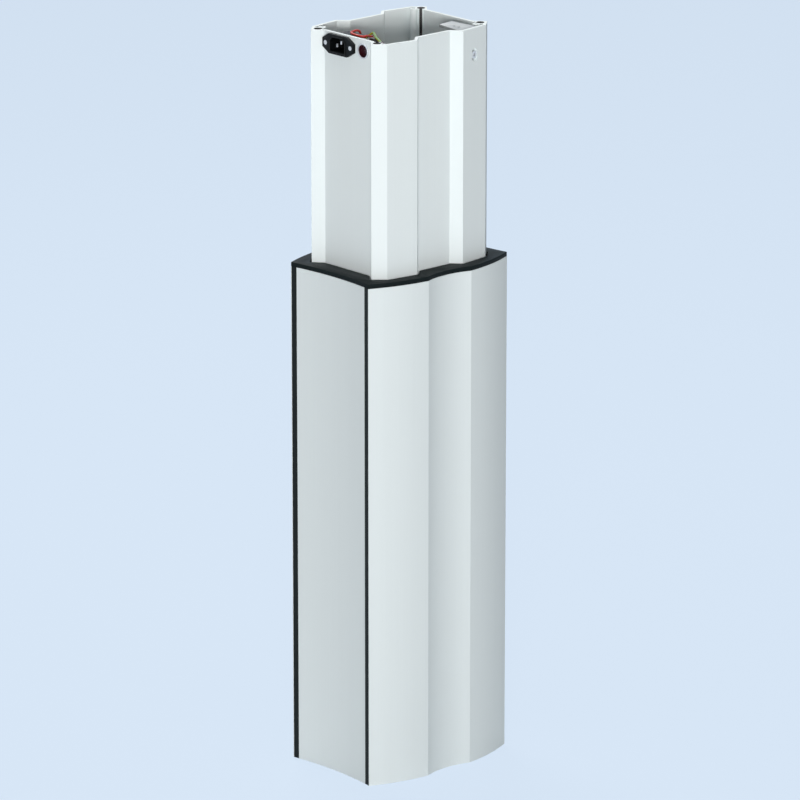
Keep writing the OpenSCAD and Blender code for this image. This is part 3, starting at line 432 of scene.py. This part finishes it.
# Camera
def face_target(name, data, target, azimuth, elevation, distance):
    """Puts a camera or a lamp at a distance from the target, and turns it to face the target. The
    azimuth is 0 in front and grows to the right. Both angles are in degrees."""
    a, e = math.radians(azimuth), math.radians(elevation)
    back = Vector((math.sin(a) * math.cos(e), -math.cos(a) * math.cos(e), math.sin(e)))
    placed = bpy.data.objects.new(name, data)
    placed.location = target + distance * back
    placed.rotation_mode = "QUATERNION"
    placed.rotation_quaternion = (-back).to_track_quat("-Z", "Y")
    bpy.context.scene.collection.objects.link(placed)
    return placed


def aim_camera():
    """Looks down on the narrow side with the inlet and on one wide side, from far off."""
    view = bpy.data.cameras.new("camera")
    view.lens, view.sensor_width, view.clip_end = 264.6, 36, 100
    target = Vector((0.0006, -0.0005, 0.411))
    bpy.context.scene.camera = face_target("camera", view, target, -42.14, 16.53, 6.5)


# Leads. Each route's points are in millimetres, from the piece that it starts or ends at.
flange_t, lug_drop = 3.6, 5
panel_face = mounts["mains_plug"].x / MM + flange_t
case_low, case_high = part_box("control_case")
motor_low, motor_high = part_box("motor")
earth_low, earth_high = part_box("earth_screw")
case_middle = [(case_low.x + case_high.x) / 2 / MM, 0]
inlet_back = np.array([panel_face, mounts["mains_plug"].y / MM, mounts["mains_plug"].z / MM])
socket_back = np.array([panel_face, mounts["handset_plug"].y / MM, mounts["handset_plug"].z / MM])
case_top = np.array(case_middle + [case_high.z / MM])
case_foot = np.array(case_middle + [case_low.z / MM])
motor_top = np.array([(motor_low.x + motor_high.x) / 2 / MM, 0, motor_high.z / MM])
lug_place = np.array([(earth_low.x + earth_high.x) / 2 / MM, (earth_low.y + earth_high.y) / 2 / MM,
                      inner_top / MM - lug_drop])


def route(*stretches):
    return smooth_path(np.vstack([place + np.array(points) for place, points in stretches]) * MM)


line_route = route(
    (inlet_back, [[33.4, 7, -2], [37, 7.6, 1.2], [35, 7.6, 8.2], [27, 5.6, 10.6], [17, 0.6, 10.6],
                  [13.5, -11.4, 10.6], [15.5, -20.4, 10.2], [23, -18.4, 9.6], [30, -14.9, 7.2],
                  [37, -11.4, 4.7], [45, -6.4, -5.8]]),
    (case_top, [[-66.5, 11, 38], [-26.5, 14, 16], [-6.5, 14, 10], [-0.5, 14, 5], [-0.5, 14, 0.2]]))
neutral_route = route(
    (inlet_back, [[33.4, -7, -2], [37, -9.9, -2.6], [33, -16.4, 1.2], [23, -17.4, 5.2],
                  [11, -17.9, 7.2], [8, -22.4, 6.2], [13, -26.4, 3.2], [25, -29.4, -3.8]]),
    (case_top, [[-76.5, -8, 36], [-26.5, 3, 16], [-6.5, 5, 10], [-0.5, 5, 5], [-0.5, 5, 0.2]]))
earth_route = route(
    (inlet_back, [[33.4, 0, 2], [38, -0.4, 2.7], [40.5, -4.4, 6.2], [38, -11.4, 9.6],
                  [31, -21.4, 10.2]]),
    (lug_place, [[16, 31.5, 3], [10, 20.5, 2.8], [6.1, 11.6, 1.5], [4.6, 8.7, 1.3]]))
handset_route = route(
    (socket_back, [[16.3, 0, 0], [22, 0.6, 1.5], [25, 6.6, 6], [25, 15.6, 6], [33, 15.6, -1.5]]),
    (case_top, [[-76.5, -12, 40], [-36.5, -12, 18], [-10.5, -11, 10], [-0.5, -11, 5],
                [-0.5, -11, 0.2]]))
motor_route = route(
    (case_foot, [[-0.5, -12, -0.3], [-0.5, -12, -7], [-6.5, -24, -35], [-36.5, -36, -115]]),
    (motor_top, [[18, -36, 53], [0, -20, 19], [0, -6, 8], [0, -6, 0.3]]))


def make_leads():
    """Round leads on the CAD leads' own routes, with their radii."""
    wire_r, handset_r, motor_r = 1.3 * MM, 2.2 * MM, 2.6 * MM
    for node, path, radius in (("line_lead", line_route, wire_r),
                               ("neutral_lead", neutral_route, wire_r),
                               ("earth_lead", earth_route, wire_r),
                               ("handset_lead", handset_route, handset_r),
                               ("motor_lead", motor_route, motor_r)):
        stand_in(add_piece(node + "_round", swept(node, path, radius)), node)


def add_sleeve(name, points, radius, slot):
    """A short stiff sleeve with rounded ends, in the inner column."""
    start, end = (np.array(p) * MM for p in points)
    along_shares = np.array([0, 0.06, 0.2, 0.8, 0.94, 1])[:, None]
    radius_shares = np.array([0.72, 0.93, 1, 1, 0.93, 0.72])
    path = start + along_shares * (end - start)
    piece = add_piece(name, swept(name, path, radius_shares * radius * MM))
    dress(piece, slot)
    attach(piece, "inner_column")


def make_sleeves():
    """Push-on terminals with soft sleeves on the inlet's pins, and the sleeve of the ring terminal."""
    start, end, terminal_r, lug_r = 25.6, 35.4, 2.9, 2.1
    for name, pin, slot in (("line", (7, -2), "red_sleeve"), ("neutral", (-7, -2), "white_sleeve"),
                            ("earth", (0, 2), "white_sleeve")):
        ends = [inlet_back + [depth, *pin] for depth in (start, end)]
        add_sleeve(name + "_terminal", ends, terminal_r, slot)
    lug_ends = (lug_place + [2.9, 5.6, 1.25], lug_place + [5.6, 10.5, 1.7])
    add_sleeve("lug_sleeve", lug_ends, lug_r, "maroon_plastic")


def make_spindle():
    """Trapezoidal thread: phase = height / lead - angle / turn, and the radius goes from root to
    crest over the flanks. The ends are plain."""
    low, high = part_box("spindle")
    middle = (low + high) / 2
    lead, thread_deep, plain, chamfer = 8 * MM, 2.2 * MM, 6 * MM, 0.6 * MM
    half_crest_share, flank_share = 0.17, 0.13
    crest = (high.x - low.x) / 2
    sides, rows_per_turn = 32, 14
    rows = int((high.z - low.z - 2 * plain) / lead * rows_per_turn)
    z = np.linspace(low.z + plain, high.z - plain, rows)
    z = np.concatenate([[low.z, low.z + plain], z, [high.z - plain, high.z]])
    angle = np.linspace(0, 2 * math.pi, sides, endpoint=False)
    phase = (z[:, None] / lead - angle[None] / (2 * math.pi)) % 1
    sunk = np.clip((np.abs(phase - 0.5) - half_crest_share) / flank_share, 0, 1)
    radius = crest - thread_deep * sunk
    radius[:2] = radius[-2:] = crest
    radius[0] = radius[-1] = crest - chamfer
    grid = np.stack([middle.x + radius * np.cos(angle), middle.y + radius * np.sin(angle),
                     np.broadcast_to(z[:, None], radius.shape)], -1)
    stand_in(add_piece("threaded_spindle", grid_mesh("threaded_spindle", grid)), "spindle")


def soften_edges():
    """Moulded, cast and turned pieces have small radii where the solids are sharp."""
    widths = {0.6: ["top_cap", "control_case", "control_lid", "gear_case", "gear_cover", "motor"],
              0.4: ["mains_inlet", "handset_socket", "socket_ring", "corner_bracket",
                    "carrier_plate", "base_plate"],
              0.3: ["inlet_pins", "bracket_screw", "earth_screw", "stop_washer", "stop_screw"]}
    for width, names in widths.items():
        for name in names:
            edged(name, width * MM)


def make_inlet_lip():
    """A low lip round the inlet's mouth: the mouth's outline grown by a width, at a height over the
    inlet's face, ring after ring until the lip's section closes."""
    half_w, half_h, corner, corner_growth = 11.7, 7.7, 4, 0.586
    widths, heights = np.array([(0, -1), (0, 0.7), (0.3, 1), (0.9, 1), (1.3, 0.6), (1.3, -0.2)]).T
    w, h, cut = half_w + widths, half_h + widths, corner + corner_growth * widths
    y = np.stack([-w, w, w, w - cut, cut - w, -w], -1)
    z = np.stack([-h, -h, h - cut, h, h, h - cut], -1)
    x = np.broadcast_to(-heights[:, None], y.shape)
    points = np.array(mounts["mains_plug"]) + np.stack([x, y, z], -1) * MM
    rings, sides = y.shape
    i, j = np.meshgrid(np.arange(rings), np.arange(sides), indexing="ij")
    here, ahead = i * sides, (i + 1) % rings * sides
    turned = (j + 1) % sides
    faces = np.stack([here + j, here + turned, ahead + turned, ahead + j], -1)
    mesh = bpy.data.meshes.new("inlet_lip")
    mesh.from_pydata(points.reshape(-1, 3).tolist(), [], faces.reshape(-1, 4).tolist())
    piece = add_piece("inlet_lip", mesh)
    dress(piece, "black_plastic")
    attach(piece, "inner_column")


# Stage
def lamp(name, azimuth, elevation, distance, size, power):
    """A square soft box, a little warm, that faces the column's middle."""
    light = bpy.data.lights.new(name, "AREA")
    light.size, light.energy, light.color = size, power, (1, 0.985, 0.965)
    face_target(name, light, (cad_box[0] + cad_box[1]) / 2, azimuth, elevation, distance)


def seen_only(stage, shown, lit, share):
    """The camera, mirrors and glass see a share of an even colour in place of the lit surface, and
    the light that falls on things stays as it is."""
    camera, mirror, glass = (stage.node("ShaderNodeLightPath", {}, {}, kind)
                             for kind in ("Is Camera Ray", "Is Glossy Ray", "Is Transmission Ray"))
    looking = camera.math("MAXIMUM", mirror).math("MAXIMUM", glass)
    return stage.node("ShaderNodeMixShader", {}, {0: looking * share, 1: lit, 2: shown})


def set_sky(pale):
    world = bpy.data.worlds.new("sky")
    bpy.context.scene.world = world
    world.use_nodes = True
    sky = Nodes(world.node_tree)
    light = sky.tree.nodes["Background"]
    light.inputs["Color"].default_value = (1, 1, 1, 1)
    light.inputs["Strength"].default_value = 0.10
    seen = sky.node("ShaderNodeBackground", {}, {"Color": pale})
    sky.feed(sky.tree.nodes["World Output"].inputs["Surface"],
             seen_only(sky, seen, Value(sky, light.outputs[0]), 1))


def lay_floor(pale):
    """A wide round floor just under the foot, which shows the sky's colour and the shadow."""
    gap, shown_share = 0.2 * MM, 0.9
    bpy.ops.mesh.primitive_circle_add(vertices=64, radius=40, fill_type="NGON",
                                      location=(0, 0, outer_foot - gap))
    floor = bpy.context.object
    floor.name = "floor"
    f = Finish("floor_paint", {"Roughness": 0.9, "Specular IOR Level": 0.1})
    cloud = f.grain(0.8, detail=1)
    floor.data.materials.append(f.wire({"Base Color": f.tone(
        cloud, (0.70, 0.76, 0.82, 1), (0.72, 0.78, 0.84, 1))}))
    glow = f.node("ShaderNodeEmission", {}, {"Color": shaded(pale, 1.06)})
    f.feed(f.tree.nodes["Material Output"].inputs["Surface"],
           seen_only(f, glow, Value(f, f.shader.outputs[0]), shown_share))


def set_stage():
    pale = (0.655, 0.766, 0.900, 1)
    set_sky(pale)
    lay_floor(pale)
    lamp("key", azimuth=-43, elevation=9.8, distance=4.5, size=0.75, power=130)
    lamp("fill", azimuth=50, elevation=15, distance=4.5, size=2.5, power=0.3)
    lamp("overhead", azimuth=-30, elevation=80, distance=2.4, size=1.2, power=16)
    lamp("rim", azimuth=160, elevation=52, distance=3.0, size=1.5, power=46)
    bpy.context.scene.view_settings.view_transform = "Standard"


aim_camera()
make_leads()
make_sleeves()
make_inlet_lip()
make_spindle()
soften_edges()
set_stage()
